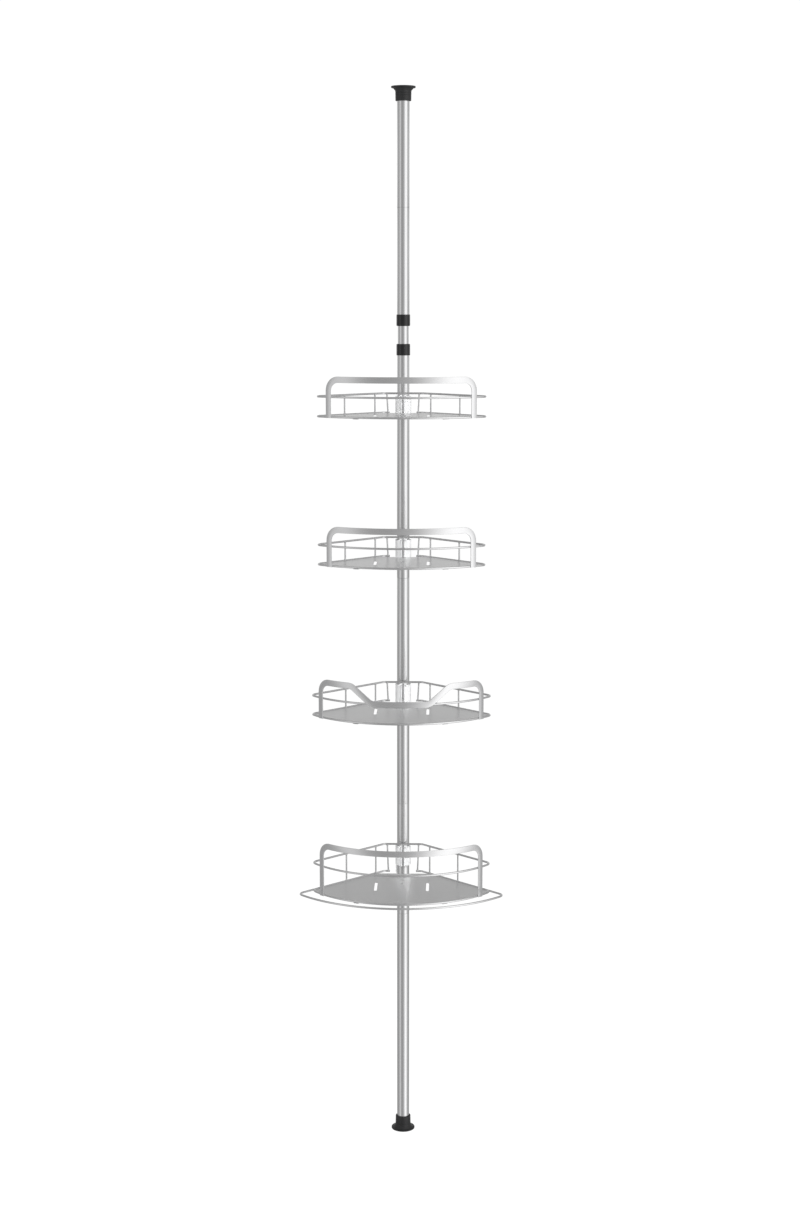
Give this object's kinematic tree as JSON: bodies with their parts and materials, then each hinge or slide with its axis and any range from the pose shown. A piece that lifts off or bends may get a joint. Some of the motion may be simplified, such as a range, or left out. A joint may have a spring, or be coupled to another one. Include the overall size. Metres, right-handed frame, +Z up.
{
  "type": "shower caddy",
  "caption": "Spring-loaded floor-to-ceiling pole with corner wire baskets, sheet trays, front strips, a towel rail and clamps that slide and swivel.",
  "frame": {"origin": "on the pole's axis at the foot's face on the floor", "axes": "+Z up the pole, -Y out of the corner towards the user, +X to the right seen from the front"},
  "size_m": [0.4, 0.3055, 2.128],
  "materials": {
    "tube_steel": "satin tube",
    "wire_steel": "satin wire",
    "tray_steel": "brushed sheet",
    "strip_steel": "brushed strip",
    "black_plastic": "gloss moulded",
    "rubber": "matte moulded",
    "clear_plastic": "translucent moulded",
    "liner_rubber": "soft grip",
    "insert_plastic": "moulded",
    "spring_steel": "drawn wire"
  },
  "bodies": {
    "pole": {"floor_pad": "rubber", "lower_tube": "tube_steel", "short_tube": "tube_steel", "middle_tube": "tube_steel", "spring_tube": "tube_steel", "joint_sockets": "insert_plastic", "joint_studs": "insert_plastic", "guide_collar": "black_plastic", "spring_seat": "insert_plastic", "tension_spring": "spring_steel"},
    "plunger": {"spring_plunger": "insert_plastic", "inner_tube": "tube_steel"},
    "upper_pole": {"lock_collet": "insert_plastic", "upper_tube": "tube_steel", "upper_joint_socket": "insert_plastic", "upper_joint_stud": "insert_plastic", "top_tube": "tube_steel", "ceiling_pad": "rubber"},
    "lock_ring": {"lock_collar": "black_plastic"},
    "liner_1": {"clamp_1_liner": "liner_rubber"},
    "basket_1": {"basket_1_floor_wire": "wire_steel", "basket_1_rail_wire": "wire_steel", "basket_1_rungs": "wire_steel", "basket_1_tray": "tray_steel", "basket_1_front_band": "strip_steel", "clamp_1_sleeve": "clear_plastic", "clamp_1_pin": "spring_steel"},
    "door_1": {"clamp_1_door": "clear_plastic"},
    "liner_2": {"clamp_2_liner": "liner_rubber"},
    "basket_2": {"basket_2_floor_wire": "wire_steel", "basket_2_rail_wire": "wire_steel", "basket_2_rungs": "wire_steel", "basket_2_tray": "tray_steel", "basket_2_front_band": "strip_steel", "clamp_2_sleeve": "clear_plastic", "clamp_2_pin": "spring_steel"},
    "door_2": {"clamp_2_door": "clear_plastic"},
    "liner_3": {"clamp_3_liner": "liner_rubber"},
    "basket_3": {"basket_3_floor_wire": "wire_steel", "basket_3_rail_wire": "wire_steel", "basket_3_rungs": "wire_steel", "basket_3_tray": "tray_steel", "basket_3_front_band": "strip_steel", "clamp_3_sleeve": "clear_plastic", "clamp_3_pin": "spring_steel"},
    "door_3": {"clamp_3_door": "clear_plastic"},
    "liner_4": {"clamp_4_liner": "liner_rubber"},
    "basket_4": {"basket_4_floor_wire": "wire_steel", "basket_4_rail_wire": "wire_steel", "basket_4_rungs": "wire_steel", "basket_4_tray": "tray_steel", "basket_4_front_band": "strip_steel", "basket_4_towel_ring": "wire_steel", "clamp_4_sleeve": "clear_plastic", "clamp_4_pin": "spring_steel"},
    "door_4": {"clamp_4_door": "clear_plastic"}
  },
  "joints": [
    {"name": "spring_travel", "type": "slide", "parent": "pole", "child": "plunger", "axis": [0, 0, 1], "range_m": [-0.032, 0], "stiffness_N_per_m": 1500, "springref_m": 0.02, "deforming": ["tension_spring"]},
    {"name": "height_slide", "type": "slide", "parent": "plunger", "child": "upper_pole", "axis": [0, 0, 1], "range_m": [0, 0.15]},
    {"name": "lock_twist", "type": "hinge", "parent": "upper_pole", "child": "lock_ring", "pos_m": [0, 0, 1.678], "axis": [0, 0, 1], "range_deg": [0, 90]},
    {"name": "basket_1_height", "type": "slide", "parent": "pole", "child": "liner_1", "axis": [0, 0, 1], "range_m": [-0.09, 0.06]},
    {"name": "basket_1_swivel", "type": "hinge", "parent": "liner_1", "child": "basket_1", "pos_m": [0, 0, 1.5155], "axis": [0, 0, 1], "continuous": true},
    {"name": "clamp_1_door_swing", "type": "hinge", "parent": "basket_1", "child": "door_1", "pos_m": [-0.01302, 0.01093, 1.5155], "axis": [0, 0, 1], "range_deg": [0, 100]},
    {"name": "basket_2_height", "type": "slide", "parent": "pole", "child": "liner_2", "axis": [0, 0, 1], "range_m": [-0.09, 0.09]},
    {"name": "basket_2_swivel", "type": "hinge", "parent": "liner_2", "child": "basket_2", "pos_m": [0, 0, 1.2295], "axis": [0, 0, 1], "continuous": true},
    {"name": "clamp_2_door_swing", "type": "hinge", "parent": "basket_2", "child": "door_2", "pos_m": [-0.01302, 0.01093, 1.2295], "axis": [0, 0, 1], "range_deg": [0, 100]},
    {"name": "basket_3_height", "type": "slide", "parent": "pole", "child": "liner_3", "axis": [0, 0, 1], "range_m": [-0.09, 0.09]},
    {"name": "basket_3_swivel", "type": "hinge", "parent": "liner_3", "child": "basket_3", "pos_m": [0, 0, 0.935], "axis": [0, 0, 1], "continuous": true},
    {"name": "clamp_3_door_swing", "type": "hinge", "parent": "basket_3", "child": "door_3", "pos_m": [-0.01302, 0.01093, 0.935], "axis": [0, 0, 1], "range_deg": [0, 100]},
    {"name": "basket_4_height", "type": "slide", "parent": "pole", "child": "liner_4", "axis": [0, 0, 1], "range_m": [-0.4, 0.1]},
    {"name": "basket_4_swivel", "type": "hinge", "parent": "liner_4", "child": "basket_4", "pos_m": [0, 0, 0.598], "axis": [0, 0, 1], "continuous": true},
    {"name": "clamp_4_door_swing", "type": "hinge", "parent": "basket_4", "child": "door_4", "pos_m": [-0.01302, 0.01093, 0.598], "axis": [0, 0, 1], "range_deg": [0, 100]}
  ]
}
